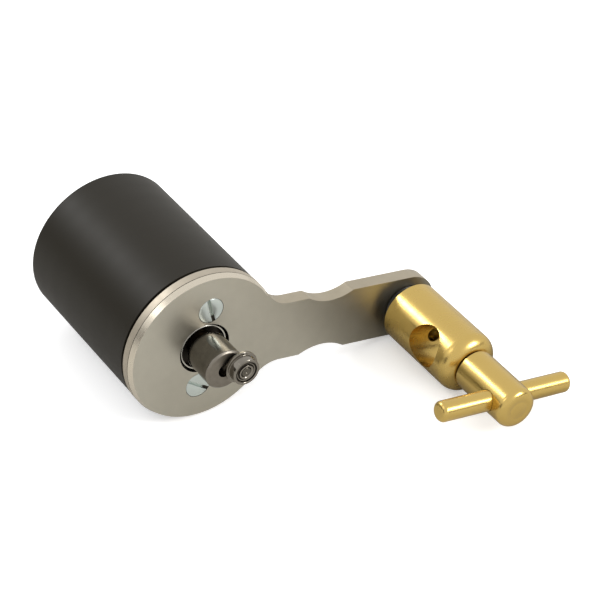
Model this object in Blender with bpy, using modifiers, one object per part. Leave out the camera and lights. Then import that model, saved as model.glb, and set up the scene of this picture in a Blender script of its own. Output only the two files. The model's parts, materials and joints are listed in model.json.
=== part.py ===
"""Rotary tattoo machine with a direct-drive motor, built as separate pieces.

Every piece is drawn in the machine's own frame: x runs along the frame plate's arm from the
motor's axis to the clamp post, y runs up in the plate's plane, and z comes out of the plate's
front face. One empty, "machine", lays that frame down as the machine lies on a table, on the
rim of its plate and on its post. Lengths below are in millimetres.
"""
import math

import bmesh
import bpy
from mathutils import Vector
from mathutils.geometry import interpolate_bezier

MM = 0.001
FACE_GAP = 0.3        # between two faces that touch
RING_GAP = 0.1        # between a piece and the hole that it is pressed or screwed into
RUN_GAP = 0.06        # radial running clearance
OVERCUT = 1.0         # how far a cutter stands out of what it cuts

# frame plate
PLATE_T = 3.05
DISC_R = 15.95
DISC_BEVEL = 0.45
DISC_BEVEL_DEPTH = 1.2
ARM_HALF = 6.55
ARM_FILLET_R = 6.0
CUSP_X = 22.7
CORNER_X = 33.1
SCALLOP_SAG = 1.45
ARM_END_X = 47.1
PLATE_HOLE_R = 5.36

# screws that hold the motor
MOTOR_SCREW_PITCH = 16.9
MOTOR_SCREW_HEAD_R = 2.62
MOTOR_SCREW_R = 1.25
MOTOR_SCREW_L = 6.5
UPPER_SLOT_TURN = 112.0
LOWER_SLOT_TURN = -27.5

# sleeve and rear cap
SLEEVE_R = 15.875
SLEEVE_BORE_R = 14.175
SLEEVE_REAR = -39.33
SLEEVE_EDGE = 0.3
CAP_R = 14.7
CAP_T = 2.2
CAP_SCREW_Y = 10.0
CAP_SCREW_HEAD_R = 1.9
CAP_SCREW_R = 1.0

# motor
CAN_R = 13.8
CAN_WALL = 1.0
CAN_REAR = -27.5
BOSS_R = 4.95
BOSS_FRONT = -0.35
BUSH_R = 2.5
SHAFT_R = 1.5
SHAFT_FRONT = 5.4
SHAFT_REAR = -31.9
MAGNET_IN_R = 9.8
MAGNET_SWEEP = 144.0
MAGNET_FRONT = -6.5
MAGNET_REAR = -23.0
CORE_R = 9.3
CORE_FRONT = -8.2
CORE_REAR = -19.4
POLES = 3
STEM_HALF = 1.5
COIL_R = 5.55
COMMUTATOR_R = 3.0
COMMUTATOR_FRONT = -21.6
COMMUTATOR_REAR = -25.6
BELL_FLOOR = -27.0
BELL_REAR = -30.2
TERMINAL_X = 8.5
TERMINAL_REAR = -33.5

# eccentric and its ball bearing
CAM_R = 4.16
CAM_REAR = 0.55
CAM_FRONT = 7.67
GRUB_TURN = 222.0
GRUB_Z = 3.2
GRUB_R = 1.2
PIN_X = 2.8
PIN_Y = 0.7
PIN_R = 0.95
PIN_REAR = 3.0
BEARING_REAR = 8.2
BEARING_FRONT = 10.5
FLANGE_R = 3.36
FLANGE_T = 0.6
BEARING_R = 2.79
OUTER_RACE_R = 2.25
INNER_RACE_R = 1.5
BALL_R = 0.33
BALLS = 7

# tube clamp
POST_X = 46.8
POST_R = 6.35
SPACER_R = 4.7
SPACER_REAR = 0.2
SPACER_FRONT = 1.95
POST_REAR = 2.15
POST_FRONT = 23.2
POST_ROUND = 2.9
POST_TURN = -10.0     # how far the stem bore is swung from the arm's line
STEM_BORE_R = 4.2
STEM_BORE_Z = 14.76
FIXING_R = 2.0
FIXING_HEAD_R = 3.6
FIXING_TIP = 8.2
TAP_DRILL_R = 1.65
THREAD_R = 2.95
HEAD_R = 4.255
HEAD_REAR = 23.45
HEAD_FRONT = 38.0
HEAD_ROUND = 1.5
SCREW_TIP = 18.6
PAD_FRONT = 18.4
PAD_TIP = 17.76
PAD_R = 2.3
TEE_Z = 33.05
TEE_R = 2.07
TEE_HALF = 15.4
TEE_CHAMFER = 0.5

# power socket
NECK_R = 3.05
NECK_FRONT = -34.6
FLANGE_REAR = -40.6
BARREL_R = 4.15
BARREL_BORE_R = 3.3
BARREL_REAR = -47.6
CONTACT_BORE_R = 1.6
LEAD_R = 0.45

# how the machine lies: the plate touches the table with its rim and with its round end
DROOP = math.asin((DISC_R - ARM_HALF) / ARM_END_X)
REACH = (POST_X + TEE_HALF) * math.cos(DROOP) + (TEE_R - TEE_CHAMFER) * math.sin(DROOP)
MACHINE_AT = (-(REACH - DISC_R) / 2, (HEAD_FRONT + BARREL_REAR) / 2, DISC_R)

STAINLESS = ((0.56, 0.53, 0.46), 0.35, 1.0)
ZINC = ((0.66, 0.71, 0.70), 0.3, 1.0)
BLACK_SATIN = ((0.03, 0.03, 0.027), 0.45, 0.3)
DARK_STEEL = ((0.2, 0.19, 0.17), 0.3, 1.0)
BRIGHT_STEEL = ((0.6, 0.58, 0.54), 0.15, 1.0)
BRASS = ((0.72, 0.52, 0.2), 0.25, 1.0)
BRONZE = ((0.45, 0.28, 0.13), 0.4, 1.0)
COPPER = ((0.7, 0.3, 0.15), 0.35, 1.0)
NICKEL = ((0.62, 0.6, 0.55), 0.25, 1.0)
FERRITE = ((0.05, 0.05, 0.05), 0.7, 0.0)
BLACK_PLASTIC = ((0.02, 0.02, 0.02), 0.5, 0.0)
WHITE_PLASTIC = ((0.8, 0.8, 0.76), 0.45, 0.0)
RED_PLASTIC = ((0.5, 0.03, 0.02), 0.5, 0.0)


def clear_scene():
    for obj in list(bpy.data.objects):
        bpy.data.objects.remove(obj, do_unlink=True)


def new_collection(name):
    collection = bpy.data.collections.new(name)
    bpy.context.scene.collection.children.link(collection)
    return collection


def new_empty(name, parent=None, at=(0, 0, 0), turn=(0, 0, 0)):
    empty = bpy.data.objects.new(name, None)
    empty.empty_display_size = 5 * MM
    empty.location = [value * MM for value in at]
    empty.rotation_euler = [math.radians(value) for value in turn]
    empty.parent = parent
    PARTS.objects.link(empty)
    return empty


def paint(obj, look):
    colour, roughness, metallic = look
    material = bpy.data.materials.new(obj.name)
    material.use_nodes = True
    shader = material.node_tree.nodes["Principled BSDF"]
    shader.inputs["Base Color"].default_value = (*colour, 1.0)
    shader.inputs["Roughness"].default_value = roughness
    shader.inputs["Metallic"].default_value = metallic
    obj.data.materials.append(material)


def place(name, mesh, parent, look=None):
    """A part when it has a look, and a cutter when it has none."""
    obj = bpy.data.objects.new(name, mesh)
    obj.parent = parent
    if look:
        PARTS.objects.link(obj)
        paint(obj, look)
    else:
        CUTTERS.objects.link(obj)
        obj.hide_render = True
        obj.display_type = "WIRE"
    return obj


def turned(name, profile, parent, look=None, steps=48):
    """Turn a profile of (radius, z) points that runs down its outer side about z.

    Ends on the axis close by themselves; a profile that stays off it is joined into a ring.
    """
    mesh = bpy.data.meshes.new(name)
    points = [(r * MM, 0, z * MM) for r, z in profile]
    edges = [(i, i + 1) for i in range(len(points) - 1)]
    if profile[0][0] > 0:
        edges.append((len(points) - 1, 0))
    mesh.from_pydata(points, edges, [])
    obj = place(name, mesh, parent, look)
    screw = obj.modifiers.new("turn", "SCREW")
    screw.steps = screw.render_steps = steps
    screw.use_merge_vertices = True
    screw.merge_threshold = 0.00001
    screw.use_smooth_shade = True
    return obj


def drill(name, radius, low, high, parent, at=(0, 0, 0), turn=(0, 0, 0), steps=24):
    """A plain cylinder between two heights, moved and turned to where it cuts."""
    obj = turned(name, [(0, high), (radius, high), (radius, low), (0, low)], parent, None, steps)
    obj.location = [value * MM for value in at]
    obj.rotation_euler = [math.radians(value) for value in turn]
    return obj


def raised(name, outline, low, high, parent, look=None):
    """Pull a flat outline, given counter-clockwise, up from one height to another."""
    build = bmesh.new()
    base = build.faces.new([build.verts.new((x * MM, y * MM, low * MM)) for x, y in outline])
    walls = bmesh.ops.extrude_face_region(build, geom=[base])
    top = [item for item in walls["geom"] if isinstance(item, bmesh.types.BMVert)]
    bmesh.ops.translate(build, verts=top, vec=(0, 0, (high - low) * MM))
    bmesh.ops.recalc_face_normals(build, faces=build.faces)
    mesh = bpy.data.meshes.new(name)
    build.to_mesh(mesh)
    build.free()
    return place(name, mesh, parent, look)


def block(name, size, centre, parent, look=None):
    build = bmesh.new()
    bmesh.ops.create_cube(build, size=1.0)
    bmesh.ops.scale(build, verts=build.verts, vec=[value * MM for value in size])
    bmesh.ops.translate(build, verts=build.verts, vec=[value * MM for value in centre])
    mesh = bpy.data.meshes.new(name)
    build.to_mesh(mesh)
    build.free()
    return place(name, mesh, parent, look)


def boolean(obj, other, operation="DIFFERENCE"):
    modifier = obj.modifiers.new(other.name, "BOOLEAN")
    modifier.operation = operation
    modifier.solver = "EXACT"
    modifier.object = other


def polar(radius, degrees, centre=(0, 0)):
    angle = math.radians(degrees)
    return (centre[0] + radius * math.cos(angle), centre[1] + radius * math.sin(angle))


def arc(radius, start, end, steps, centre=(0, 0)):
    return [polar(radius, start + (end - start) * i / steps, centre) for i in range(steps + 1)]


def arm_outline():
    """The upper half of the arm, from its round end back to the disc."""
    fillet_y = ARM_HALF + ARM_FILLET_R
    fillet_x = math.sqrt((DISC_R + ARM_FILLET_R) ** 2 - fillet_y ** 2)
    meets_disc = math.degrees(math.atan2(fillet_y, fillet_x))
    half_chord = (CORNER_X - CUSP_X) / 2
    scallop_r = (half_chord ** 2 + SCALLOP_SAG ** 2) / (2 * SCALLOP_SAG)
    scallop_c = ((CORNER_X + CUSP_X) / 2, ARM_HALF - SCALLOP_SAG + scallop_r)
    spread = math.degrees(math.asin(half_chord / scallop_r))
    points = arc(ARM_HALF, 0, 90, 14, (ARM_END_X, 0))
    points += arc(scallop_r, 270 + spread, 270 - spread, 12, scallop_c)
    points += arc(ARM_FILLET_R, 270, 180 + meets_disc, 8, (fillet_x, fillet_y))
    return points, meets_disc


def frame_plate():
    half, meets_disc = arm_outline()
    disc = arc(DISC_R, meets_disc, 360 - meets_disc, 52)[1:-1]
    outline = half + disc + [(x, -y) for x, y in reversed(half[1:])]
    plate = raised("frame_plate", outline, -PLATE_T, -DISC_BEVEL_DEPTH, MACHINE, STAINLESS)
    build = bmesh.new()
    build.from_mesh(plate.data)
    build.faces.ensure_lookup_table()
    top = max(build.faces, key=lambda face: face.calc_center_median().z)
    lifted = bmesh.ops.extrude_discrete_faces(build, faces=[top])["faces"][0]
    rim = DISC_R * MM
    for vert in lifted.verts:
        vert.co.z = 0
        on_disc = abs(vert.co.xy.length - rim) < 0.00001
        if on_disc and abs(math.degrees(math.atan2(vert.co.y, vert.co.x))) > meets_disc + 1:
            vert.co.xy *= 1 - DISC_BEVEL / DISC_R
    bmesh.ops.remove_doubles(build, verts=build.verts, dist=0.000001)
    build.to_mesh(plate.data)
    build.free()
    boolean(plate, drill("cut_plate_hole", PLATE_HOLE_R, -PLATE_T - OVERCUT, OVERCUT, MACHINE, steps=40))
    for side in (1, -1):
        centre = (0, side * MOTOR_SCREW_PITCH / 2, 0)
        boolean(plate, countersink(f"cut_motor_screw_{side}", MOTOR_SCREW_HEAD_R, MOTOR_SCREW_R, centre))
    fixing = countersink("cut_fixing_screw", FIXING_HEAD_R, FIXING_R, (POST_X, 0, -PLATE_T), flip=True)
    boolean(plate, fixing)


def countersink(name, head_r, shank_r, at, flip=False, depth=PLATE_T):
    """The hole for a countersunk screw whose head is flush with the face at z = 0."""
    mouth = head_r + 0.15
    shank = shank_r + 0.2
    slope = 1.1
    profile = [(0, OVERCUT), (mouth, OVERCUT), (mouth, 0), (mouth, -0.3)]
    profile += [(shank, -0.3 - (mouth - shank) / slope), (shank, -depth - OVERCUT), (0, -depth - OVERCUT)]
    cutter = turned(name, profile, MACHINE, None, 28)
    cutter.location = [value * MM for value in at]
    if flip:
        cutter.rotation_euler = (math.pi, 0, 0)
    return cutter


def slotted_screw(name, head_r, shank_r, length, slot_turn, at, look, flip=False):
    """A countersunk screw with a straight slot, its head flush with z = 0."""
    seat = new_empty(f"at_{name}", MACHINE, at, (180, 0, 0) if flip else (0, 0, 0))
    cone = (head_r - shank_r) / 1.1
    profile = [(0, 0), (head_r, 0), (head_r, -0.25), (shank_r, -0.25 - cone)]
    profile += [(shank_r, 0.3 - length), (shank_r - 0.3, -length), (0, -length)]
    screw = turned(name, profile, seat, look, 24)
    slot = block(f"cut_slot_{name}", (2 * head_r + 2, 0.7, 2.0), (0, 0, 0.35), seat)
    slot.rotation_euler.z = math.radians(slot_turn)
    boolean(screw, slot)


def motor_screws():
    half = MOTOR_SCREW_PITCH / 2
    slotted_screw("motor_screw_upper", MOTOR_SCREW_HEAD_R, MOTOR_SCREW_R, MOTOR_SCREW_L,
                  UPPER_SLOT_TURN, (0, half, 0), ZINC)
    slotted_screw("motor_screw_lower", MOTOR_SCREW_HEAD_R, MOTOR_SCREW_R, MOTOR_SCREW_L,
                  LOWER_SLOT_TURN, (0, -half, 0), ZINC)


def motor_sleeve():
    front = -PLATE_T - FACE_GAP
    step = SLEEVE_REAR + CAP_T + FACE_GAP
    seat_r = CAP_R + RING_GAP
    edge = SLEEVE_EDGE
    profile = [(SLEEVE_BORE_R, front), (SLEEVE_R - edge / 2, front), (SLEEVE_R, front - edge / 2)]
    profile += [(SLEEVE_R, SLEEVE_REAR + edge), (SLEEVE_R - edge, SLEEVE_REAR)]
    profile += [(seat_r, SLEEVE_REAR), (seat_r, step), (SLEEVE_BORE_R, step)]
    turned("motor_sleeve", profile, MACHINE, BLACK_SATIN, 60)


def rear_cap():
    front = SLEEVE_REAR + CAP_T
    bore = NECK_R + RING_GAP
    profile = [(bore, front), (CAP_R, front), (CAP_R, SLEEVE_REAR), (bore, SLEEVE_REAR)]
    cap = turned("rear_cap", profile, MACHINE, BLACK_SATIN, 40)
    for side in (1, -1):
        centre = (0, side * CAP_SCREW_Y, SLEEVE_REAR)
        cutter = countersink(f"cut_cap_screw_{side}", CAP_SCREW_HEAD_R, CAP_SCREW_R, centre, flip=True)
        boolean(cap, cutter)


def cap_screws():
    length = abs(SLEEVE_REAR - BELL_REAR) + 1.8
    for side, name in ((1, "cap_screw_upper"), (-1, "cap_screw_lower")):
        slotted_screw(name, CAP_SCREW_HEAD_R, CAP_SCREW_R, length, 35 * side,
                      (0, side * CAP_SCREW_Y, SLEEVE_REAR), ZINC, flip=True)


def motor_can():
    front = -PLATE_T - FACE_GAP
    inner = front - CAN_WALL
    bore = BUSH_R + RING_GAP
    wall_r = CAN_R - CAN_WALL
    profile = [(bore, BOSS_FRONT), (BOSS_R, BOSS_FRONT), (BOSS_R, front), (CAN_R - 0.8, front)]
    profile += [(CAN_R, front - 0.8), (CAN_R, CAN_REAR), (wall_r, CAN_REAR), (wall_r, inner), (bore, inner)]
    can = turned("motor_can", profile, MACHINE, NICKEL, 40)
    for side in (1, -1):
        hole = drill(f"cut_can_screw_{side}", MOTOR_SCREW_R + 0.15, inner - OVERCUT, front + OVERCUT,
                     MACHINE, (0, side * MOTOR_SCREW_PITCH / 2, 0), steps=24)
        boolean(can, hole)


def magnets():
    outer = CAN_R - CAN_WALL - FACE_GAP
    half = MAGNET_SWEEP / 2
    for middle, name in ((180, "magnet_left"), (0, "magnet_right")):
        outline = arc(outer, middle - half, middle + half, 24)
        outline += arc(MAGNET_IN_R, middle + half, middle - half, 24)
        raised(name, outline, MAGNET_REAR, MAGNET_FRONT, MACHINE, FERRITE)


def bushes():
    inner = SHAFT_R + RUN_GAP
    for name, front, rear in (("front_bush", BOSS_FRONT - 0.2, -5.2), ("rear_bush", -26.4, -31.2)):
        profile = [(inner, front), (BUSH_R, front), (BUSH_R, rear), (inner, rear)]
        turned(name, profile, MACHINE, BRONZE, 24)


def end_bell():
    spigot = CAN_R - CAN_WALL - FACE_GAP
    lip = CAN_REAR - FACE_GAP
    bore = BUSH_R + RING_GAP
    profile = [(spigot - 1, -25.5), (spigot, -25.5), (spigot, lip), (CAN_R, lip), (CAN_R, BELL_REAR)]
    profile += [(bore, BELL_REAR), (bore, BELL_FLOOR), (spigot - 1, BELL_FLOOR)]
    bell = turned("end_bell", profile, MACHINE, BLACK_PLASTIC, 32)
    for side in (1, -1):
        slot = block(f"cut_terminal_{side}", (1.1, 2.8, 6.0), (side * TERMINAL_X, 0, -28.6), MACHINE)
        boolean(bell, slot)
        hole = drill(f"cut_bell_screw_{side}", CAP_SCREW_R + 0.15, BELL_REAR - OVERCUT, BELL_REAR + 2.4,
                     MACHINE, (0, side * CAP_SCREW_Y, 0), steps=20)
        boolean(bell, hole)


def brushes_and_terminals():
    """Carbon brushes on the commutator, each backed by a terminal's sprung arm."""
    for side, word in ((-1, "left"), (1, "right")):
        rub = COMMUTATOR_R + RUN_GAP
        middle = side * (rub + 1.1)
        block(f"brush_{word}", (2.2, 2.0, 2.2), (middle, 0, -23.7), MACHINE, FERRITE)
        arm_x = rub + 2.2 + FACE_GAP
        blade = TERMINAL_X - 0.25
        bend = -26.1
        outline = [(arm_x, -22.8), (arm_x, bend - 0.5), (blade, bend - 0.5), (blade, TERMINAL_REAR)]
        outline += [(blade + 0.5, TERMINAL_REAR), (blade + 0.5, bend), (arm_x + 0.4, bend)]
        outline += [(arm_x + 0.4, -22.8)]
        strip = raised(f"terminal_{word}", outline, -1.1, 1.1, MACHINE, BRASS)
        strip.rotation_euler = (math.pi / 2, 0, 0 if side > 0 else math.pi)


def motor_shaft():
    profile = [(0, SHAFT_FRONT), (SHAFT_R - 0.2, SHAFT_FRONT), (SHAFT_R, SHAFT_FRONT - 0.2)]
    profile += [(SHAFT_R, SHAFT_REAR + 0.2), (SHAFT_R - 0.2, SHAFT_REAR), (0, SHAFT_REAR)]
    turned("motor_shaft", profile, MOTOR_AXIS, BRIGHT_STEEL, 24)


def armature_core():
    """A stack with three T-shaped poles."""
    outline = []
    stem_in = math.degrees(math.asin(STEM_HALF / 3.6))
    stem_out = math.degrees(math.asin(STEM_HALF / 7.9))
    for pole in range(POLES):
        middle = 90 + 360 * pole / POLES
        outline.append(polar(3.6, middle - stem_in))
        outline.append(polar(7.9, middle - stem_out))
        outline.append(polar(8.3, middle - 48))
        outline += arc(CORE_R, middle - 49, middle + 49, 12)
        outline.append(polar(8.3, middle + 48))
        outline.append(polar(7.9, middle + stem_out))
        outline.append(polar(3.6, middle + stem_in))
    core = raised("armature_core", outline, CORE_REAR, CORE_FRONT, MOTOR_AXIS, DARK_STEEL)
    bore = drill("cut_core_bore", SHAFT_R + RING_GAP, CORE_REAR - OVERCUT, CORE_FRONT + OVERCUT,
                 MOTOR_AXIS)
    boolean(core, bore)


def coils():
    """One coil round each pole's stem: a block with a window for the stem."""
    middle_z = (CORE_FRONT + CORE_REAR) / 2
    window = (5.0, 2 * (STEM_HALF + FACE_GAP), CORE_FRONT - CORE_REAR + 2 * FACE_GAP)
    coil_w = 1.25
    body = (2.4, window[1] + 2 * coil_w, window[2] + 2 * coil_w)
    for pole in range(POLES):
        name = f"coil_{pole + 1}"
        seat = new_empty(f"at_{name}", MOTOR_AXIS, (0, 0, middle_z), (0, 0, 90 + 360 * pole / POLES))
        coil = block(name, body, (COIL_R, 0, 0), seat, COPPER)
        boolean(coil, block(f"cut_{name}", window, (COIL_R, 0, 0), seat))


def commutator():
    bore = SHAFT_R + RING_GAP
    profile = [(bore, COMMUTATOR_FRONT), (COMMUTATOR_R, COMMUTATOR_FRONT)]
    profile += [(COMMUTATOR_R, COMMUTATOR_REAR), (bore, COMMUTATOR_REAR)]
    ring = turned("commutator", profile, MOTOR_AXIS, COPPER, 36)
    height = COMMUTATOR_FRONT - COMMUTATOR_REAR + 2
    for bar in range(POLES):
        slot = block(f"cut_bar_{bar + 1}", (1.6, 0.4, height), (COMMUTATOR_R, 0, 0), MOTOR_AXIS)
        slot.location.z = (COMMUTATOR_FRONT + COMMUTATOR_REAR) / 2 * MM
        slot.rotation_euler.z = math.radians(30 + 360 * bar / POLES)
        boolean(ring, slot)


def cam_hub():
    """The eccentric: a plain round hub, bored for the shaft, the pin and a grub screw."""
    edge = 0.35
    profile = [(0, CAM_FRONT), (CAM_R - edge, CAM_FRONT), (CAM_R, CAM_FRONT - edge)]
    profile += [(CAM_R, CAM_REAR + 0.2), (CAM_R - 0.2, CAM_REAR), (0, CAM_REAR)]
    hub = turned("cam_hub", profile, MOTOR_AXIS, DARK_STEEL, 40)
    bore_r = SHAFT_R + RING_GAP
    boolean(hub, drill("cut_cam_bore", bore_r, CAM_REAR - OVERCUT, CAM_FRONT + OVERCUT, MOTOR_AXIS))
    pin_hole = drill("cut_pin_hole", PIN_R + 0.05, PIN_REAR - 0.1, CAM_FRONT + OVERCUT, PIN_AXIS, steps=20)
    boolean(hub, pin_hole)
    boolean(hub, drill("cut_grub_hole", GRUB_R + RING_GAP, 0.5, CAM_R + OVERCUT, GRUB_AXIS, steps=20))


def cam_set_screw():
    tip = SHAFT_R + 0.25
    head = CAM_R - 0.35
    profile = [(0, head), (GRUB_R - 0.2, head), (GRUB_R, head - 0.2), (GRUB_R, tip + 0.4)]
    profile += [(GRUB_R - 0.4, tip), (0, tip)]
    screw = turned("cam_set_screw", profile, GRUB_AXIS, DARK_STEEL, 28)
    boolean(screw, drill("cut_set_hex", 0.7, head - 1.1, head + OVERCUT, GRUB_AXIS, steps=6))


def drive_pin():
    """The pin keeps a collar that holds the bearing off the hub's face."""
    collar = (CAM_FRONT + 0.08, BEARING_REAR - 0.08)
    front = BEARING_FRONT - 0.05
    profile = [(0, front - 0.35), (0.35, front), (PIN_R - 0.1, front), (PIN_R, front - 0.1)]
    profile += [(PIN_R, collar[1]), (1.4, collar[1]), (1.4, collar[0]), (PIN_R, collar[0])]
    profile += [(PIN_R, PIN_REAR), (0, PIN_REAR)]
    turned("drive_pin", profile, PIN_AXIS, BRIGHT_STEEL, 20)


def bearing_rings():
    inner = PIN_R + 0.05
    profile = [(inner, BEARING_FRONT), (INNER_RACE_R, BEARING_FRONT)]
    profile += [(INNER_RACE_R, BEARING_REAR), (inner, BEARING_REAR)]
    turned("bearing_inner_ring", profile, PIN_AXIS, BRIGHT_STEEL, 24)
    step = BEARING_REAR + FLANGE_T
    edge = 0.15
    profile = [(OUTER_RACE_R, BEARING_FRONT), (BEARING_R - edge, BEARING_FRONT)]
    profile += [(BEARING_R, BEARING_FRONT - edge), (BEARING_R, step), (FLANGE_R - edge, step)]
    profile += [(FLANGE_R, step - edge), (FLANGE_R, BEARING_REAR), (OUTER_RACE_R, BEARING_REAR)]
    turned("bearing_outer_ring", profile, PIN_AXIS, BRIGHT_STEEL, 36)


def bearing_shields():
    for name, high in (("shield_front", BEARING_FRONT - 0.2), ("shield_rear", BEARING_REAR + 0.4)):
        inner = INNER_RACE_R + 0.08
        outer = OUTER_RACE_R - 0.05
        profile = [(inner, high), (outer, high), (outer, high - 0.2), (inner, high - 0.2)]
        turned(name, profile, PIN_AXIS, BRIGHT_STEEL, 24)


def bearing_balls():
    """Seven balls, joined into one body by the thin ring of their cage."""
    pitch_r = (INNER_RACE_R + OUTER_RACE_R) / 2
    middle = (BEARING_REAR + BEARING_FRONT) / 2
    profile = [(pitch_r - 0.08, middle + 0.1), (pitch_r + 0.08, middle + 0.1)]
    profile += [(pitch_r + 0.08, middle - 0.1), (pitch_r - 0.08, middle - 0.1)]
    cage = turned("bearing_balls", profile, PIN_AXIS, BRIGHT_STEEL, 28)
    for number in range(BALLS):
        x, y = polar(pitch_r, 360 * number / BALLS)
        build = bmesh.new()
        bmesh.ops.create_icosphere(build, subdivisions=1, radius=BALL_R * MM)
        bmesh.ops.translate(build, verts=build.verts, vec=(x * MM, y * MM, middle * MM))
        mesh = bpy.data.meshes.new(f"join_ball_{number + 1}")
        build.to_mesh(mesh)
        build.free()
        boolean(cage, place(mesh.name, mesh, PIN_AXIS), "UNION")


def post_spacer():
    bore = FIXING_R + 0.15
    profile = [(bore, SPACER_FRONT), (SPACER_R, SPACER_FRONT)]
    profile += [(SPACER_R, SPACER_REAR), (bore, SPACER_REAR)]
    turned("post_spacer", profile, POST_AXIS, BLACK_PLASTIC, 48)


def clamp_post():
    """A round post, drilled down its axis for two screws and across for the tube's stem."""
    mouth = THREAD_R + RING_GAP
    tapped = FIXING_R + 0.15
    profile = [(mouth, POST_FRONT)]
    profile += arc(POST_ROUND, 90, 0, 5, (POST_R - POST_ROUND, POST_FRONT - POST_ROUND))
    profile += [(POST_R, POST_REAR + 0.2), (POST_R - 0.2, POST_REAR), (tapped, POST_REAR)]
    profile += [(tapped, FIXING_TIP + 0.4), (TAP_DRILL_R, FIXING_TIP + 0.9)]
    profile += [(TAP_DRILL_R, STEM_BORE_Z), (mouth, STEM_BORE_Z)]
    post = turned("clamp_post", profile, POST_AXIS, BRASS, 48)
    reach = POST_R + OVERCUT
    stem = drill("cut_stem_bore", STEM_BORE_R, -reach, reach, POST_AXIS, (0, 0, STEM_BORE_Z), (0, 90, 0), 36)
    boolean(post, stem)


def post_fixing_screw():
    seat = new_empty("at_post_fixing_screw", MACHINE, (POST_X, 0, -PLATE_T), (180, 0, 0))
    length = PLATE_T + FIXING_TIP
    cone = (FIXING_HEAD_R - FIXING_R) / 1.1
    profile = [(0, 0), (FIXING_HEAD_R, 0), (FIXING_HEAD_R, -0.25), (FIXING_R, -0.25 - cone)]
    profile += [(FIXING_R, 0.4 - length), (FIXING_R - 0.4, -length), (0, -length)]
    screw = turned("post_fixing_screw", profile, seat, ZINC, 24)
    boolean(screw, drill("cut_fixing_hex", 1.45, -1.3, OVERCUT, seat, steps=6))


def clamp_screw():
    """The thumb screw: a fat round head on an M6 thread, with a blind hole for its tip pad."""
    profile = [(0, HEAD_FRONT)]
    profile += arc(HEAD_ROUND, 90, 0, 4, (HEAD_R - HEAD_ROUND, HEAD_FRONT - HEAD_ROUND))
    profile += [(HEAD_R, HEAD_REAR + 0.1), (HEAD_R - 0.1, HEAD_REAR), (THREAD_R, HEAD_REAR)]
    profile += [(THREAD_R, SCREW_TIP + 0.4), (THREAD_R - 0.4, SCREW_TIP), (0.9, SCREW_TIP)]
    profile += [(0.9, 20.4), (0, 20.4)]
    screw = turned("clamp_screw", profile, SCREW_AXIS, BRASS, 40)
    cross = drill("cut_tee_hole", TEE_R + RING_GAP, -HEAD_R - OVERCUT, HEAD_R + OVERCUT, SCREW_AXIS,
                  (0, 0, TEE_Z), (0, 90, 0), 28)
    boolean(screw, cross)


def clamp_pad():
    profile = [(0, 20.1), (0.8, 20.1), (0.8, PAD_FRONT), (PAD_R, PAD_FRONT), (PAD_R, PAD_TIP + 0.15)]
    profile += [(PAD_R - 0.15, PAD_TIP), (0, PAD_TIP)]
    turned("clamp_pad", profile, POST_AXIS, BRASS, 32)


def tee_bar():
    edge = TEE_R - TEE_CHAMFER
    shy = TEE_HALF - TEE_CHAMFER
    profile = [(0, TEE_HALF), (edge, TEE_HALF), (TEE_R, shy)]
    profile += [(TEE_R, -shy), (edge, -TEE_HALF), (0, -TEE_HALF)]
    bar = turned("tee_bar", profile, SCREW_AXIS, BRASS, 36)
    bar.location.z = TEE_Z * MM
    bar.rotation_euler.y = math.pi / 2


def power_socket():
    """A phono socket: threaded neck through the cap, plain barrel outside, lined centre hole."""
    cap_face = SLEEVE_REAR - FACE_GAP
    neck_bore = 2.1
    profile = [(neck_bore, NECK_FRONT), (NECK_R, NECK_FRONT), (NECK_R, cap_face), (5.2, cap_face)]
    profile += [(5.2, FLANGE_REAR), (BARREL_R, FLANGE_REAR), (BARREL_R, BARREL_REAR + 0.2)]
    profile += [(BARREL_R - 0.2, BARREL_REAR), (BARREL_BORE_R, BARREL_REAR), (BARREL_BORE_R, -41.0)]
    profile += [(neck_bore, -41.0)]
    turned("socket_shell", profile, MACHINE, NICKEL, 32)
    contact_r = CONTACT_BORE_R + 0.2
    profile = [(1.0, -34.0), (2.0, -34.0), (2.0, -41.3), (3.1, -41.3), (3.1, -47.3)]
    profile += [(contact_r, -47.3), (contact_r, -40.2), (1.0, -40.2)]
    turned("socket_insulator", profile, MACHINE, WHITE_PLASTIC, 24)
    lined = CONTACT_BORE_R + 0.1
    profile = [(0, -33.2), (0.8, -33.2), (0.8, -40.5), (lined, -40.5), (lined, -47.0)]
    profile += [(CONTACT_BORE_R - 0.15, -47.0), (CONTACT_BORE_R - 0.15, -41.0), (0, -41.0)]
    turned("socket_contact", profile, MACHINE, BRASS, 20)


def socket_nut():
    cap_inside = SLEEVE_REAR + CAP_T
    nut = raised("socket_nut", arc(4.6, 0, 300, 5), cap_inside + 0.2, cap_inside + 1.8, MACHINE, NICKEL)
    hole = drill("cut_nut_hole", NECK_R + RING_GAP, cap_inside - OVERCUT, cap_inside + 3, MACHINE)
    boolean(nut, hole)


def lead(name, points, look):
    """A short insulated wire along a Bezier arc, straight sided and closed at its ends."""
    path = interpolate_bezier(*[Vector(point) for point in points], 12)
    curve = bpy.data.curves.new(name, "CURVE")
    curve.dimensions = "3D"
    curve.bevel_depth = LEAD_R * MM
    curve.bevel_resolution = 2
    curve.use_fill_caps = True
    spline = curve.splines.new("POLY")
    spline.points.add(len(path) - 1)
    for point, co in zip(spline.points, path):
        point.co = (*(co * MM), 1.0)
    obj = bpy.data.objects.new(name, curve)
    obj.parent = MACHINE
    PARTS.objects.link(obj)
    paint(obj, look)


def leads():
    lead("lead_positive", ((9.6, 0, -32.0), (9.9, 0, -36.0), (4.5, 2.0, -33.6), (1.7, 0, -33.5)), RED_PLASTIC)
    lead("lead_negative", ((-9.6, 0, -32.0), (-9.9, 0, -35.5), (-7.5, -2, -36.3), (-5.5, 0, -36.1)),
         BLACK_PLASTIC)


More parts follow.
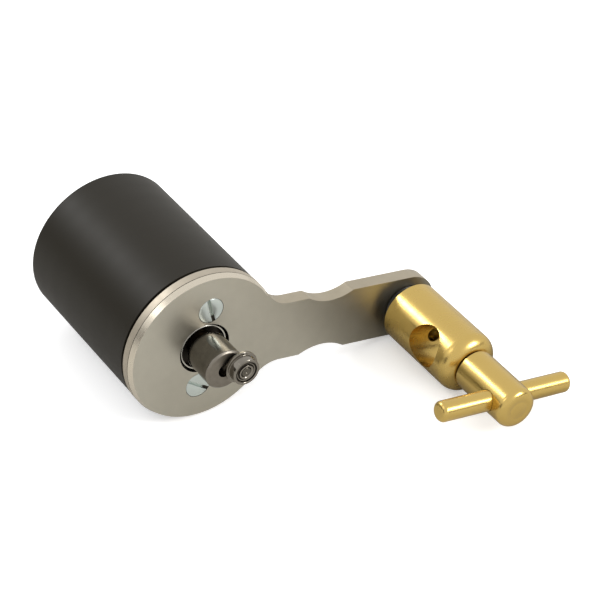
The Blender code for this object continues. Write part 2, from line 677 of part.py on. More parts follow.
clear_scene()
PARTS = new_collection("rotary_tattoo_machine")
CUTTERS = new_collection("cutters")
MACHINE = new_empty("machine", None, MACHINE_AT, (90, math.degrees(DROOP), 0))
MOTOR_AXIS = new_empty("motor_axis", MACHINE)
PIN_AXIS = new_empty("pin_axis", MOTOR_AXIS, (PIN_X, PIN_Y, 0))
GRUB_AXIS = new_empty("grub_axis", MOTOR_AXIS, (0, 0, GRUB_Z), (0, 90, GRUB_TURN))
POST_AXIS = new_empty("post_axis", MACHINE, (POST_X, 0, 0), (0, 0, POST_TURN))
SCREW_AXIS = new_empty("screw_axis", MACHINE, (POST_X, 0, 0))

frame_plate()
motor_screws()
motor_sleeve()
rear_cap()
cap_screws()
motor_can()
magnets()
bushes()
end_bell()
brushes_and_terminals()
motor_shaft()
armature_core()
coils()
commutator()
cam_hub()
cam_set_screw()
drive_pin()
bearing_rings()
bearing_shields()
bearing_balls()
post_spacer()
clamp_post()
post_fixing_screw()
clamp_screw()
clamp_pad()
tee_bar()
power_socket()
socket_nut()
leads()
bpy.context.view_layer.update()
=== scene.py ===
"""Looks of a direct-drive rotary tattoo machine, laid out as a Blender add-on.

Every piece is drawn in the machine's own frame, in millimetres: x along the arm, y up in the
plate's plane, z out of the plate's front face. It is then laid down on the table by a matrix
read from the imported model's joints.
"""
import json
import math
from functools import partial

import bmesh
import bpy
from bpy.props import FloatProperty, FloatVectorProperty, IntProperty, PointerProperty
from mathutils import Matrix, Vector


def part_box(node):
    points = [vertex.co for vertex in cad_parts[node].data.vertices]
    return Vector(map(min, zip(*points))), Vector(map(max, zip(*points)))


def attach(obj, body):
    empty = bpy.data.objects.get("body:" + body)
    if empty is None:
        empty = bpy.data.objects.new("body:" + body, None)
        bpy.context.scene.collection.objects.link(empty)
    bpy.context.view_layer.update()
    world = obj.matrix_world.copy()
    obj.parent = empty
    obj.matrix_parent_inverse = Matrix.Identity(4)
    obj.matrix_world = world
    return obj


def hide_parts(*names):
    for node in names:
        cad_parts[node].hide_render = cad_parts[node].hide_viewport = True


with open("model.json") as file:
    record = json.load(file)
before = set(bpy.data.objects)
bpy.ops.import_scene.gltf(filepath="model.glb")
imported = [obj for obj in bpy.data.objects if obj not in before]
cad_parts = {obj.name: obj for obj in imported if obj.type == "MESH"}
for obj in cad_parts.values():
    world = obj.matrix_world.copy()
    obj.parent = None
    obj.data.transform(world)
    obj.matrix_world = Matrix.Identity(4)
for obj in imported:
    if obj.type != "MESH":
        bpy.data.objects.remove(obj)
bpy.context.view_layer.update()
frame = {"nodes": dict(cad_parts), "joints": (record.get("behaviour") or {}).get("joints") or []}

bl_info = {
    "name": "Rotary machine",
    "version": (1, 0, 0),
    "blender": (4, 5, 0),
    "location": "3D View > Sidebar > Rotary",
    "description": "Builds the finished pieces of a direct-drive rotary tattoo machine",
    "category": "Object",
}

MM = 0.001
FULL_TURN = 2 * math.pi
WELD = 2e-6
SMOOTH_BELOW = math.radians(32)
JOINTS = {joint["name"]: joint for joint in frame["joints"]}
MOTOR_AT = Vector(JOINTS["rotor_spin"]["pos_m"])
PIN_AT = Vector(JOINTS["bearing_spin"]["pos_m"])
POST_AT = Vector(JOINTS["post_swivel"]["pos_m"])
FACE_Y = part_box("frame_plate")[0].y
DROOP = math.atan2(MOTOR_AT.z - POST_AT.z, POST_AT.x - MOTOR_AT.x)
POST_X = math.hypot(MOTOR_AT.z - POST_AT.z, POST_AT.x - MOTOR_AT.x) / MM
STEM_TURN = math.radians(-10)


def seat(point, turn=0.0):
    """The matrix from a local frame in metres, with z along the piece's axis, to the table's."""
    lay = Matrix.Rotation(DROOP, 4, "Y") @ Matrix.Rotation(math.pi / 2, 4, "X")
    return Matrix.Translation((point.x, FACE_Y, point.z)) @ lay @ Matrix.Rotation(turn, 4, "Z")


MACHINE = seat(MOTOR_AT)
PIN = seat(PIN_AT)
POST = seat(POST_AT, STEM_TURN)
SCREW = seat(POST_AT)


def ends(node):
    """A node's rear and front, in millimetres out of the plate's front face."""
    low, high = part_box(node)
    return (FACE_Y - high.y) / MM, (FACE_Y - low.y) / MM


def outer_r(node, axis):
    """A turned node's largest radius about an axis, in millimetres."""
    verts = frame["nodes"][node].data.vertices
    return max(math.hypot(v.co.x - axis.x, v.co.z - axis.z) for v in verts) / MM


# ---------------------------------------------------------------- sizes and colours


def size(name, default, description):
    return FloatProperty(name=name, default=default * MM, description=description, subtype="DISTANCE",
                         unit="LENGTH", min=0.0, precision=5)


def colour(name, default, description):
    return FloatVectorProperty(name=name, default=default, description=description, subtype="COLOR",
                               size=3, min=0.0, max=1.0)


class MachineSizes(bpy.types.PropertyGroup):
    """Sizes that change how the pieces look and not how they fit."""
    edge: size("Edge break", 0.1, "Rounding of the sharp machined edges")
    rim_bevel: size("Rim bevel", 0.45, "Radial width of the bevel round the plate's disc")
    rim_depth: size("Rim bevel depth", 1.2, "How far the rim's bevel runs back")
    slot: size("Screw slot", 0.7, "Width of the slots in the countersunk screws")
    pitch: size("Thread pitch", 1.0, "Pitch of the clamp screw's thread")
    thread_depth: size("Thread depth", 0.42, "Depth of the clamp screw's thread")
    steps: IntProperty(name="Steps", default=192, min=24, max=512,
                       description="Sides of the large turned pieces")


class MachineColours(bpy.types.PropertyGroup):
    """Base colours of the finishes."""
    stainless: colour("Stainless", (0.59, 0.56, 0.475), "Brushed plate")
    anodised: colour("Black", (0.0145, 0.0115, 0.006), "Satin black sleeve and cap")
    brass: colour("Brass", (0.66, 0.47, 0.15), "Turned brass")
    zinc: colour("Zinc", (0.74, 0.81, 0.78), "Plated screws")
    dark_steel: colour("Dark steel", (0.23, 0.213, 0.182), "Burnished eccentric")
    bright_steel: colour("Bright steel", (0.42, 0.385, 0.33), "Bearing and pin")
    nickel: colour("Nickel", (0.62, 0.60, 0.54), "Motor can and socket")


# ---------------------------------------------------------------- modelling helpers


def deselect():
    if bpy.context.object and bpy.context.object.mode != "OBJECT":
        bpy.ops.object.mode_set(mode="OBJECT")
    bpy.ops.object.select_all(action="DESELECT")


def arc(radius, start, end, steps, centre=(0.0, 0.0)):
    """Points along an arc, with its angles in degrees."""
    points = []
    for i in range(steps + 1):
        angle = math.radians(start + (end - start) * i / steps)
        points.append((centre[0] + radius * math.cos(angle), centre[1] + radius * math.sin(angle)))
    return points


def soften(points, radius, closed=False, steps=3):
    """Round every corner of an outline by a small arc, leaving an open outline's ends alone."""
    out = []
    count = len(points)
    for i, here in enumerate(points):
        if not closed and i in (0, count - 1):
            out.append(here)
            continue
        corner = Vector(here)
        before = Vector(points[i - 1]) - corner
        after = Vector(points[(i + 1) % count]) - corner
        if before.angle(after) > math.radians(165):
            out.append(here)
            continue
        cut = min(radius, 0.45 * before.length, 0.45 * after.length)
        start = corner + before.normalized() * cut
        end = corner + after.normalized() * cut
        for step in range(steps + 1):
            t = step / steps
            out.append(tuple(start * (1 - t) ** 2 + corner * 2 * t * (1 - t) + end * t ** 2))
    return out


def trace(name, points, plane="XZ"):
    """Draw a chain of edges by extruding one vertex, and stay in edit mode."""
    deselect()
    places = [Vector((x, 0, y) if plane == "XZ" else (x, y, 0)) * MM for x, y in points]
    bpy.ops.mesh.primitive_plane_add(size=MM)
    obj = bpy.context.object
    obj.name = name
    bpy.ops.object.mode_set(mode="EDIT")
    bpy.ops.mesh.select_mode(type="VERT")
    bpy.ops.mesh.select_all(action="SELECT")
    bpy.ops.mesh.merge(type="CENTER")
    bpy.ops.transform.translate(value=places[0])
    for here, there in zip(places, places[1:]):
        bpy.ops.mesh.extrude_region_move(TRANSFORM_OT_translate={"value": there - here})
    bpy.ops.mesh.select_all(action="SELECT")
    return obj


def tidy_normals():
    bpy.ops.mesh.select_all(action="SELECT")
    bpy.ops.mesh.remove_doubles(threshold=WELD)
    bpy.ops.mesh.normals_make_consistent(inside=False)
    bpy.ops.object.mode_set(mode="OBJECT")


def lathe(name, profile, steps=None):
    """Spin a profile of (radius, z) about z. One that starts off the axis is closed into a ring."""
    steps = steps or bpy.context.scene.machine_sizes.steps
    closed = profile[0][0] > 0
    obj = trace(name, profile + [profile[0]] if closed else profile)
    bpy.ops.mesh.spin(steps=steps, angle=FULL_TURN, center=(0, 0, 0), axis=(0, 0, 1))
    tidy_normals()
    return obj


def plate_of(name, outline, low, high):
    """Fill a traced outline and extrude it, staying in edit mode with the top selected."""
    obj = trace(name, outline, "XY")
    bpy.ops.mesh.edge_face_add()
    bpy.ops.mesh.remove_doubles(threshold=WELD)
    bpy.ops.transform.translate(value=(0, 0, low * MM))
    bpy.ops.mesh.extrude_region_move(TRANSFORM_OT_translate={"value": (0, 0, (high - low) * MM)})
    return obj


def drill(target, radius, low, high, at=(0, 0), along="Z", height=0.0, turn=0.0, steps=96):
    """Cut a round hole: along z at a point, or across the axis at a height and turned about it."""
    deselect()
    length = (high - low) * MM
    middle = (high + low) / 2
    bpy.ops.mesh.primitive_cylinder_add(vertices=steps, radius=radius * MM, depth=length)
    cutter = bpy.context.object
    if along == "Z":
        cutter.matrix_world = Matrix.Translation(Vector((at[0], at[1], middle)) * MM)
    else:
        across = Matrix.Rotation(turn, 4, "Z") @ Matrix.Translation((middle * MM, 0, height * MM))
        cutter.matrix_world = across @ Matrix.Rotation(math.pi / 2, 4, "Y")
    cut(target, cutter)


def cut(target, cutter):
    modifier = target.modifiers.new("cut", "BOOLEAN")
    modifier.solver = "EXACT"
    modifier.object = cutter
    deselect()
    target.select_set(True)
    bpy.context.view_layer.objects.active = target
    bpy.ops.object.modifier_apply(modifier=modifier.name)
    bpy.data.objects.remove(cutter, do_unlink=True)


def cut_slot(target, width, length, depth, turn, top=0.0):
    deselect()
    bpy.ops.mesh.primitive_cube_add(size=MM)
    cutter = bpy.context.object
    place = Matrix.Rotation(turn, 4, "Z") @ Matrix.Translation((0, 0, (top + 0.5 - depth / 2) * MM))
    cutter.matrix_world = place @ Matrix.Diagonal((length, width, depth + 1.0, 1.0))
    cut(target, cutter)


def break_edges(obj, width, chosen, segments=2):
    """Bevel the edges that a test on their middle, in millimetres, picks out of the sharp ones."""
    deselect()
    bpy.context.view_layer.objects.active = obj
    obj.select_set(True)
    bpy.ops.object.mode_set(mode="EDIT")
    bpy.ops.mesh.select_mode(type="EDGE")
    bpy.ops.mesh.select_all(action="DESELECT")
    mesh = bmesh.from_edit_mesh(obj.data)
    for edge in mesh.edges:
        sharp = len(edge.link_faces) == 2 and edge.calc_face_angle(0) > math.radians(30)
        if sharp and chosen((edge.verts[0].co + edge.verts[1].co) / 2 / MM):
            edge.select_set(True)
    bmesh.update_edit_mesh(obj.data)
    bpy.ops.mesh.bevel(offset=width * MM, segments=segments, affect="EDGES", clamp_overlap=True)
    bpy.ops.object.mode_set(mode="OBJECT")


def settle(obj, place, body, material, nodes):
    """Lay a finished piece in the machine, smooth it, paint it and let it ride."""
    deselect()
    obj.matrix_world = place
    obj.select_set(True)
    bpy.context.view_layer.objects.active = obj
    bpy.ops.object.transform_apply(location=True, rotation=True, scale=True)
    bpy.ops.object.shade_smooth_by_angle(angle=SMOOTH_BELOW)
    bpy.ops.object.modifier_add(type="WEIGHTED_NORMAL")
    flatten = obj.modifiers[-1]
    flatten.keep_sharp = True
    bpy.ops.object.modifier_apply(modifier=flatten.name)
    obj.data.materials.clear()
    obj.data.materials.append(material)
    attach(obj, body)
    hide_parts(*nodes)


# ---------------------------------------------------------------- surface effects


def new_group(name, inputs, outputs):
    group = bpy.data.node_groups.new(name, "ShaderNodeTree")
    for label, kind, default in inputs:
        socket = group.interface.new_socket(label, in_out="INPUT", socket_type=kind)
        if default is not None:
            socket.default_value = default
    for label, kind in outputs:
        group.interface.new_socket(label, in_out="OUTPUT", socket_type=kind)
    return group, group.nodes.new("NodeGroupInput"), group.nodes.new("NodeGroupOutput")


def math_node(tree, operation, a, b=None, clamp=False):
    node = tree.nodes.new("ShaderNodeMath")
    node.operation = operation
    node.use_clamp = clamp
    for socket, value in zip(node.inputs, (a, b)):
        if value is None:
            continue
        if isinstance(value, (int, float)):
            socket.default_value = value
        else:
            tree.links.new(value, socket)
    return node.outputs[0]


def noise(tree, vector, scale, detail=2.0, rough=0.5):
    node = tree.nodes.new("ShaderNodeTexNoise")
    node.inputs["Scale"].default_value = scale
    node.inputs["Detail"].default_value = detail
    node.inputs["Roughness"].default_value = rough
    tree.links.new(vector, node.inputs["Vector"])
    return node.outputs["Fac"]


def blend_colour(tree, factor, a, b):
    node = tree.nodes.new("ShaderNodeMix")
    node.data_type = "RGBA"
    for socket, value in ((node.inputs[0], factor), (node.inputs[6], a), (node.inputs[7], b)):
        if isinstance(value, (int, float, tuple)):
            socket.default_value = value
        else:
            tree.links.new(value, socket)
    return node.outputs[2]


def turning_group():
    """Tool marks of a lathe: rings on end faces and hoops on walls, all about local z."""
    group, given, out = new_group(
        "lathe_marks",
        [("Vector", "NodeSocketVector", None), ("Lines", "NodeSocketFloat", 9.0),
         ("Wander", "NodeSocketFloat", 0.25)],
        [("Height", "NodeSocketFloat"), ("Bands", "NodeSocketFloat")])
    split = group.nodes.new("ShaderNodeSeparateXYZ")
    group.links.new(given.outputs["Vector"], split.inputs[0])
    squares = [math_node(group, "MULTIPLY", split.outputs[i], split.outputs[i]) for i in (0, 1)]
    radius = math_node(group, "SQRT", math_node(group, "ADD", *squares))
    angle = math_node(group, "ARCTAN2", split.outputs[1], split.outputs[0])
    fine = group.nodes.new("ShaderNodeCombineXYZ")
    lines = given.outputs["Lines"]
    swing = math_node(group, "MULTIPLY", angle, given.outputs["Wander"])
    group.links.new(math_node(group, "MULTIPLY", radius, lines), fine.inputs[0])
    group.links.new(swing, fine.inputs[1])
    group.links.new(math_node(group, "MULTIPLY", split.outputs[2], lines), fine.inputs[2])
    group.links.new(noise(group, fine.outputs[0], 1.0, 3.0, 0.65), out.inputs["Height"])
    group.links.new(noise(group, fine.outputs[0], 0.13, 1.0), out.inputs["Bands"])
    return group


def grain_group():
    """Straight brushed grain along local x, over a slow drift in tone."""
    group, given, out = new_group(
        "brushed_grain",
        [("Vector", "NodeSocketVector", None), ("Fineness", "NodeSocketFloat", 12.0)],
        [("Height", "NodeSocketFloat"), ("Drift", "NodeSocketFloat")])
    stretch = group.nodes.new("ShaderNodeVectorMath")
    stretch.operation = "MULTIPLY"
    stretch.inputs[1].default_value = (0.06, 1.0, 1.0)
    group.links.new(given.outputs["Vector"], stretch.inputs[0])
    scaled = group.nodes.new("ShaderNodeVectorMath")
    scaled.operation = "SCALE"
    group.links.new(stretch.outputs[0], scaled.inputs[0])
    group.links.new(given.outputs["Fineness"], scaled.inputs["Scale"])
    group.links.new(noise(group, scaled.outputs[0], 1.0, 3.0, 0.7), out.inputs["Height"])
    group.links.new(noise(group, given.outputs["Vector"], 0.16), out.inputs["Drift"])
    return group


def handling_group():
    """Smudges and small scuffs left by handling: a soft mask and a speckled one."""
    group, given, out = new_group(
        "handling",
        [("Vector", "NodeSocketVector", None), ("Size", "NodeSocketFloat", 0.4)],
        [("Smudge", "NodeSocketFloat"), ("Scuff", "NodeSocketFloat")])
    scaled = group.nodes.new("ShaderNodeVectorMath")
    scaled.operation = "SCALE"
    group.links.new(given.outputs["Vector"], scaled.inputs[0])
    group.links.new(given.outputs["Size"], scaled.inputs["Scale"])
    soft = noise(group, scaled.outputs[0], 1.0, 3.0, 0.6)
    group.links.new(soft, out.inputs["Smudge"])
    speck = noise(group, scaled.outputs[0], 9.0, 4.0, 0.7)
    raised = math_node(group, "SUBTRACT", speck, 0.6)
    group.links.new(math_node(group, "MULTIPLY", raised, 6.0, clamp=True), out.inputs["Scuff"])
    return group


GROUP_MAKERS = {"lathe_marks": turning_group, "brushed_grain": grain_group, "handling": handling_group}


def use_group(tree, name, vector, **values):
    group = bpy.data.node_groups.get(name) or GROUP_MAKERS[name]()
    node = tree.nodes.new("ShaderNodeGroup")
    node.node_tree = group
    tree.links.new(vector, node.inputs["Vector"])
    for label, value in values.items():
        node.inputs[label].default_value = value
    return node


def finish(name, base, roughness, place, metallic=1.0, marks="lathe_marks", lines=9.0, wander=0.25,
           bump=0.00004, spread=0.12, tint=0.12, shade=None, smudge=0.4, gloss=0.5, scuff=0.0):
    """A machined finish about a piece's own axis, with marks in its height, gloss and tone."""
    material = bpy.data.materials.new(name + "_finish")
    material.use_nodes = True
    tree = material.node_tree
    shader = tree.nodes["Principled BSDF"]
    shader.inputs["Metallic"].default_value = metallic
    shader.inputs["Specular IOR Level"].default_value = gloss
    where = tree.nodes.new("ShaderNodeTexCoord")
    mapping = tree.nodes.new("ShaderNodeMapping")
    back = place.inverted()
    mapping.inputs["Location"].default_value = back.to_translation() / MM
    mapping.inputs["Rotation"].default_value = back.to_euler()
    mapping.inputs["Scale"].default_value = (1 / MM,) * 3
    tree.links.new(where.outputs["Object"], mapping.inputs["Vector"])
    vector = mapping.outputs["Vector"]
    if marks == "lathe_marks":
        marked = use_group(tree, marks, vector, Lines=lines, Wander=wander)
        slow = marked.outputs["Bands"]
    else:
        marked = use_group(tree, marks, vector, Fineness=lines)
        slow = marked.outputs["Drift"]
    handled = use_group(tree, "handling", vector, Size=smudge)
    grey = shade or tuple(value * 0.55 for value in base)
    wave = math_node(tree, "MULTIPLY", math_node(tree, "ADD", slow, handled.outputs["Smudge"]), 0.5)
    amount = math_node(tree, "MULTIPLY", wave, 2 * tint, clamp=True)
    toned = blend_colour(tree, amount, (*base, 1.0), (*grey, 1.0))
    if scuff:
        bright = tuple(min(1.0, value * 1.8 + 0.05) for value in base)
        toned = blend_colour(tree, math_node(tree, "MULTIPLY", handled.outputs["Scuff"], scuff),
                             toned, (*bright, 1.0))
    tree.links.new(toned, shader.inputs["Base Color"])
    uneven = math_node(tree, "MULTIPLY", math_node(tree, "SUBTRACT", wave, 0.5), 2 * spread)
    tree.links.new(math_node(tree, "ADD", uneven, roughness, clamp=True), shader.inputs["Roughness"])
    raise_it = tree.nodes.new("ShaderNodeBump")
    raise_it.inputs["Distance"].default_value = bump
    tree.links.new(marked.outputs["Height"], raise_it.inputs["Height"])
    tree.links.new(raise_it.outputs["Normal"], shader.inputs["Normal"])
    return material


# ---------------------------------------------------------------- finishes


AGED_BRASS = (0.5, 0.32, 0.085)


def look(name):
    """The finish of that name, made with the panel's colours the first time it is asked for."""
    c = bpy.context.scene.machine_colours

    def made(*given, **more):
        return partial(finish, name, *given, **more)

    makers = {
        "brushed_stainless": made(c.stainless, 0.36, MACHINE, marks="brushed_grain", lines=2.4,
            bump=2.5e-6, tint=0.2),
        "turned_stainless": made((0.74, 0.67, 0.55), 0.26, MACHINE, lines=4.0, wander=0.1, bump=3e-6),
        "rim_stainless": made((0.66, 0.59, 0.48), 0.5, MACHINE, lines=2.6, wander=0.1, bump=1e-5, tint=0.4),
        "edge_stainless": made((0.54, 0.475, 0.36), 0.36, MACHINE, marks="brushed_grain", lines=3.0,
            bump=4e-6, tint=0.3),
        "satin_black": made(c.anodised, 0.48, MACHINE, metallic=0.0, lines=3.0, bump=1.2e-6,
            shade=(0.009, 0.0075, 0.005), smudge=0.12, scuff=0.03, spread=0.04, gloss=0.27),
        "cap_black": made(c.anodised, 0.46, MACHINE, metallic=0.0, lines=5.0, bump=2e-6, gloss=0.32),
        "post_brass": made(c.brass, 0.26, POST, lines=3.4, bump=1.2e-6, shade=AGED_BRASS, smudge=0.3),
        "screw_brass": made(c.brass, 0.24, SCREW, lines=4.2, bump=1.2e-6, shade=AGED_BRASS, smudge=0.35),
        "bar_brass": made(c.brass, 0.25, TEE, lines=4.0, bump=1.4e-6, shade=AGED_BRASS, smudge=0.4),
        "zinc_upper": made(c.zinc, 0.3, UPPER, lines=7.0, bump=2e-6),
        "zinc_lower": made(c.zinc, 0.3, LOWER, lines=7.0, bump=2e-6),
        "zinc": made(c.zinc, 0.32, MACHINE, lines=7.0, bump=2e-6),
        "burnished_steel": made(c.dark_steel, 0.17, MACHINE, lines=3.2, wander=1.2, bump=3e-6,
            spread=0.12, tint=0.5, shade=(0.05, 0.043, 0.036), smudge=0.8, scuff=0.3),
        "faced_steel": made((0.36, 0.33, 0.28), 0.33, MACHINE, lines=2.6, wander=0.15, bump=4e-6,
            tint=0.5, shade=(0.15, 0.13, 0.105), smudge=0.9),
        # Near-black steel that paints shade into hollows: the plate's holes, seats, hole chamfer and rim
        # groove, and the recess in the motor's boss.
        "painted_shade_steel": made((0.035, 0.03, 0.024), 0.35, MACHINE, lines=3.2, bump=2e-6),
        # Near-black shield steel: painted shade for the dark rings on the bearing's face.
        "shield_painted_shade": made((0.03, 0.025, 0.02), 0.3, PIN, lines=8.0, bump=2e-6),
        "bearing_steel": made(c.bright_steel, 0.13, PIN, lines=5.0, bump=2e-6, tint=0.5,
            shade=(0.1, 0.09, 0.075)),
        "pin_steel": made((0.15, 0.135, 0.11), 0.25, PIN, lines=6.0, bump=2e-6),
        "bright_steel": made(c.bright_steel, 0.22, MACHINE, lines=6.0),
        "nickel": made(c.nickel, 0.25, MACHINE, lines=5.0, bump=1e-6),
        "ferrite": made((0.04, 0.04, 0.042), 0.7, MACHINE, metallic=0.0, marks="brushed_grain",
            lines=4.0, scuff=0.2),
        "bronze": made((0.07, 0.05, 0.03), 0.42, MACHINE, lines=6.0, scuff=0.1),
        "black_plastic": made((0.02, 0.02, 0.021), 0.5, MACHINE, metallic=0.0, lines=2.0, bump=2e-6),
        "carbon": made((0.03, 0.03, 0.032), 0.6, MACHINE, metallic=0.1, marks="brushed_grain", lines=6.0),
        "lamination_steel": made((0.33, 0.32, 0.31), 0.4, MACHINE, lines=5.0, bump=2e-5),
        "copper": made((0.72, 0.29, 0.14), 0.3, MACHINE, marks="brushed_grain", lines=5.0, bump=2e-5),
        "white_plastic": made((0.78, 0.77, 0.72), 0.42, MACHINE, metallic=0.0, lines=2.0, bump=2e-6),
        "red_plastic": made((0.45, 0.025, 0.02), 0.45, MACHINE, metallic=0.0, lines=2.0, bump=2e-6),
        "brass": made(c.brass, 0.28, MACHINE, lines=5.0, bump=1e-6),
    }
    return bpy.data.materials.get(name + "_finish") or makers[name]()


# ---------------------------------------------------------------- sizes that the pieces share

PLATE_BACK = ends("frame_plate")[0]
DISC_R = (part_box("frame_plate")[1].z - MOTOR_AT.z) / MM
ARM_HALF = 6.55
ARM_FILLET_R = 6.0
CUSP_X = 22.7
CORNER_X = 33.1
SCALLOP_SAG = 1.45
ARM_END_X = 47.1
GROOVE_DEEP = 0.07
GROOVE_EDGES = (0.14, 0.11, 0.03)
PLATE_HOLE_R = 5.36
SLEEVE_BORE_R = 14.175
LIP_WIDE, LIP_DEEP = 0.5, 0.33
BOSS_R, BOSS_ROOT_R, BUSH_HOLE_R = 4.55, 4.95, 2.58
RING_BORE_R, INNER_RING_R = 1.0, 1.5
RACE_R, OUTER_RING_R, FLANGE_R = 2.25, 2.79, 3.36
POST_HOLE_R, POST_TAP_R, CLAMP_THREAD_R = 2.15, 1.65, 3.05
SCREW_Y = 8.45
HEAD_R = 2.62
THREAD_HOLE_R = 1.45
CAP_SCREW_Y = 10.0
CAP_HEAD_R = 1.9
FIXING_HEAD_R = 3.6
FIXING_R = 2.0
STEM_BORE_R = 4.2
STEM_BORE_Z = 14.76
TEE_Z = 33.05
TEE_R = 2.07
TEE_HALF = 15.4
GRUB_TURN = math.radians(222)
GRUB_Z = 3.2

UPPER = MACHINE @ Matrix.Translation((0, SCREW_Y * MM, 0)) @ Matrix.Rotation(math.radians(112), 4, "Z")
LOWER = MACHINE @ Matrix.Translation((0, -SCREW_Y * MM, 0)) @ Matrix.Rotation(math.radians(-27.5), 4, "Z")
TEE = SCREW @ Matrix.Translation((0, 0, TEE_Z * MM)) @ Matrix.Rotation(math.pi / 2, 4, "Y")
GRUB = MACHINE @ Matrix.Rotation(GRUB_TURN, 4, "Z") @ Matrix.Translation((0, 0, GRUB_Z * MM))
GRUB = GRUB @ Matrix.Rotation(math.pi / 2, 4, "Y")


def reach(point):
    return math.hypot(point.x, point.y)


def countersink(target, head_r, hole_r, at, face=0.0, back=False, depth=3.05, gap=0.07):
    """Cut a screw's conical seat and its through hole, from the front or from the back."""
    mouth = head_r + gap
    profile = [(0, 1), (mouth, 1), (mouth, -0.3), (hole_r, -0.3 - (mouth - hole_r) / 1.1),
               (hole_r, -depth - 1), (0, -depth - 1)]
    cutter = lathe("cutter", profile, 96)
    turn = Matrix.Rotation(math.pi, 4, "X") if back else Matrix.Identity(4)
    cutter.matrix_world = Matrix.Translation(Vector((at[0], at[1], face)) * MM) @ turn
    cut(target, cutter)


def plate_outline():
    """The disc and the arm with its two finger scallops, counter-clockwise."""
    fillet_y = ARM_HALF + ARM_FILLET_R
    fillet_x = math.sqrt((DISC_R + ARM_FILLET_R) ** 2 - fillet_y ** 2)
    meets_disc = math.degrees(math.atan2(fillet_y, fillet_x))
    half_chord = (CORNER_X - CUSP_X) / 2
    scallop_r = (half_chord ** 2 + SCALLOP_SAG ** 2) / (2 * SCALLOP_SAG)
    scallop = ((CORNER_X + CUSP_X) / 2, ARM_HALF - SCALLOP_SAG + scallop_r)
    spread = math.degrees(math.asin(half_chord / scallop_r))
    half = arc(ARM_HALF, 0, 90, 36, (ARM_END_X, 0))
    half += arc(scallop_r, 270 + spread, 270 - spread, 30, scallop)
    half += arc(ARM_FILLET_R, 270, 180 + meets_disc, 20, (fillet_x, fillet_y))
    disc = arc(DISC_R, meets_disc, 360 - meets_disc, 150)[1:-1]
    return half + disc + [(x, -y) for x, y in reversed(half[1:])], meets_disc


class ROTARY_OT_frame_plate(bpy.types.Operator):
    """Cut the frame plate: a bevelled disc, the scalloped arm and the holes"""
    bl_idname = "rotary.frame_plate"
    bl_label = "Frame plate"

    def execute(self, context):
        sizes = context.scene.machine_sizes
        outline, meets_disc = plate_outline()
        knee = -sizes.rim_depth / MM
        groove = (DISC_R - GROOVE_DEEP) / DISC_R
        foot, floor, top = (knee - down for down in GROOVE_EDGES)
        bevel = 1 - sizes.rim_bevel / MM / DISC_R
        plate = plate_of("frame_plate_fine", outline, PLATE_BACK, foot)
        last_z, last_scale = foot, 1.0
        for z, scale in ((floor, groove), (top, groove), (knee, 1.0), (0.0, bevel)):
            bpy.ops.mesh.select_all(action="DESELECT")
            mesh = bmesh.from_edit_mesh(plate.data)
            for vert in mesh.verts:
                vert.select_set(abs(vert.co.z / MM - last_z) < 0.001)
            mesh.select_flush(True)
            bmesh.update_edit_mesh(plate.data)
            move = {"value": (0, 0, (z - last_z) * MM)}
            bpy.ops.mesh.extrude_region_move(TRANSFORM_OT_translate=move)
            mesh = bmesh.from_edit_mesh(plate.data)
            for vert in mesh.verts:
                turned_to = abs(math.degrees(math.atan2(vert.co.y, vert.co.x)))
                on_disc = abs(reach(vert.co) / MM - DISC_R * last_scale) < 0.01
                vert.select_set(vert.select and on_disc and turned_to > meets_disc + 0.5)
            mesh.select_flush(False)
            bmesh.update_edit_mesh(plate.data)
            ratio = scale / last_scale
            bpy.ops.transform.resize(value=(ratio, ratio, 1), center_override=(0, 0, 0))
            last_z, last_scale = z, scale
        tidy_normals()
        drill(plate, PLATE_HOLE_R, PLATE_BACK - 1, 1, steps=160)
        for side in (1, -1):
            countersink(plate, HEAD_R, THREAD_HOLE_R, (0, side * SCREW_Y))
        countersink(plate, FIXING_HEAD_R, FIXING_R + 0.2, (POST_X, 0), PLATE_BACK, back=True)
        edge = sizes.edge / MM
        break_edges(plate, edge, lambda p: abs(p.z) < 0.01 and reach(p) > 11)
        break_edges(plate, edge, lambda p: abs(p.z - PLATE_BACK) < 0.01 and reach(p) > 11)
        break_edges(plate, 0.06, lambda p: abs(p.z) < 0.01 and reach(p) < 11)
        settle(plate, MACHINE, "frame", look("brushed_stainless"), ["frame_plate"])
        for name in ("turned_stainless", "painted_shade_steel", "rim_stainless", "edge_stainless"):
            plate.data.materials.append(look(name))
        turned, painted_shade, rim, wall = 1, 2, 3, 4
        back = MACHINE.inverted()
        for polygon in plate.data.polygons:
            middle = back @ polygon.center / MM
            from_screw = math.hypot(middle.x, abs(middle.y) - SCREW_Y)
            in_hole = reach(middle) < PLATE_HOLE_R + 0.03
            turned_to = abs(math.degrees(math.atan2(middle.y, middle.x)))
            on_rim = reach(middle) > DISC_R - 1.5 and turned_to > meets_disc
            inside = (in_hole or from_screw < HEAD_R + 0.1) and middle.z < -0.07
            chamfer = reach(middle) < PLATE_HOLE_R + 0.1 and abs(polygon.normal.y) < 0.97
            # Hole walls, countersink seats, the hole's chamfer and the rim's groove are painted near-black:
            # painted shade in these hollows and on the chamfer.
            if inside or chamfer or on_rim and knee - 0.2 < middle.z < knee - 0.01:
                polygon.material_index = painted_shade
            elif on_rim and abs(polygon.normal.y) < 0.97:
                polygon.material_index = turned if middle.z > knee else rim
            elif abs(polygon.normal.y) < 0.5:
                polygon.material_index = wall
        return {"FINISHED"}


